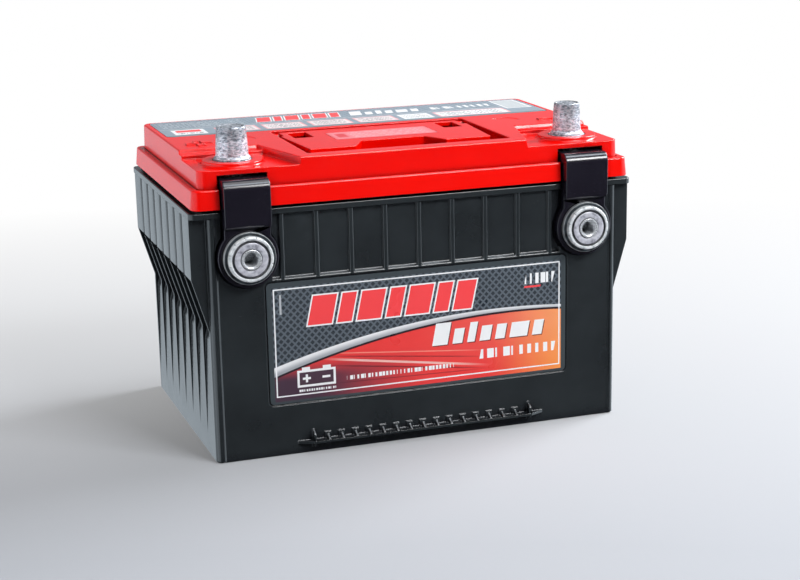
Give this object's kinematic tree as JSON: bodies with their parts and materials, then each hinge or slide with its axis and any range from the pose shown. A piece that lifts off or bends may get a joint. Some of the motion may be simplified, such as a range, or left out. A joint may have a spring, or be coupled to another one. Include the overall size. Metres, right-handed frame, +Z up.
{
  "type": "deep cycle battery",
  "caption": "Sealed glass-mat lead battery in a black case with a red cover, folding lifting handle, two tapered top posts and two threaded front terminals.",
  "frame": {"origin": "centre of the flat underside of the case", "axes": "+X runs along the battery towards its negative end, +Y points away from the front terminals, +Z points up through the top posts"},
  "size_m": [0.2796, 0.1854, 0.1984],
  "materials": {
    "case_black": "satin moulded polypropylene, black",
    "lid_black": "moulded polypropylene, dark grey",
    "cover_red": "satin moulded polypropylene, red",
    "cast_lead": "rough cast lead",
    "insert_steel": "plated steel thread insert",
    "positive_plate": "brown lead dioxide paste on a lead grid",
    "negative_plate": "grey sponge lead paste on a lead grid",
    "glass_mat": "absorbent glass fibre mat",
    "valve_rubber": "moulded rubber",
    "porous_plastic": "sintered porous disc",
    "front_label": "printed film, grey over red with a silver band",
    "top_label": "printed film, grey with pale panels",
    "handle_label": "printed film, pale red"
  },
  "bodies": {
    "root": {"case": "case_black", "inner_lid": "lid_black", "top_cover": "cover_red", "front_label": "front_label", "top_label": "top_label", "positive_plate_group_1": "positive_plate", "positive_plate_group_2": "positive_plate", "positive_plate_group_3": "positive_plate", "positive_plate_group_4": "positive_plate", "positive_plate_group_5": "positive_plate", "positive_plate_group_6": "positive_plate", "negative_plate_group_1": "negative_plate", "negative_plate_group_2": "negative_plate", "negative_plate_group_3": "negative_plate", "negative_plate_group_4": "negative_plate", "negative_plate_group_5": "negative_plate", "negative_plate_group_6": "negative_plate", "glass_mat_1": "glass_mat", "glass_mat_2": "glass_mat", "glass_mat_3": "glass_mat", "glass_mat_4": "glass_mat", "glass_mat_5": "glass_mat", "glass_mat_6": "glass_mat", "cell_weld_1": "cast_lead", "cell_weld_2": "cast_lead", "cell_weld_3": "cast_lead", "cell_weld_4": "cast_lead", "cell_weld_5": "cast_lead", "left_flame_arrestor": "porous_plastic", "right_flame_arrestor": "porous_plastic", "positive_post_bushing": "cast_lead", "positive_post_pillar": "cast_lead", "positive_side_bar": "cast_lead", "positive_strap_cover": "case_black", "positive_side_terminal": "cast_lead", "positive_thread_insert": "insert_steel", "negative_post_bushing": "cast_lead", "negative_post_pillar": "cast_lead", "negative_side_bar": "cast_lead", "negative_strap_cover": "case_black", "negative_side_terminal": "cast_lead", "negative_thread_insert": "insert_steel"},
    "handle": {"lifting_handle": "cover_red", "handle_label": "handle_label"},
    "valve_1": {"relief_valve_1": "valve_rubber"},
    "valve_2": {"relief_valve_2": "valve_rubber"},
    "valve_3": {"relief_valve_3": "valve_rubber"},
    "valve_4": {"relief_valve_4": "valve_rubber"},
    "valve_5": {"relief_valve_5": "valve_rubber"},
    "valve_6": {"relief_valve_6": "valve_rubber"}
  },
  "joints": [
    {"name": "handle_hinge", "type": "hinge", "parent": "root", "child": "handle", "pos_m": [0, 0.011, 0.1773], "axis": [-1, 0, 0], "range_deg": [0, 95]},
    {"name": "valve_1_lift", "type": "slide", "parent": "root", "child": "valve_1", "axis": [0, 0, 1], "range_m": [0, 0.0006]},
    {"name": "valve_2_lift", "type": "slide", "parent": "root", "child": "valve_2", "axis": [0, 0, 1], "range_m": [0, 0.0006]},
    {"name": "valve_3_lift", "type": "slide", "parent": "root", "child": "valve_3", "axis": [0, 0, 1], "range_m": [0, 0.0006]},
    {"name": "valve_4_lift", "type": "slide", "parent": "root", "child": "valve_4", "axis": [0, 0, 1], "range_m": [0, 0.0006]},
    {"name": "valve_5_lift", "type": "slide", "parent": "root", "child": "valve_5", "axis": [0, 0, 1], "range_m": [0, 0.0006]},
    {"name": "valve_6_lift", "type": "slide", "parent": "root", "child": "valve_6", "axis": [0, 0, 1], "range_m": [0, 0.0006]}
  ]
}
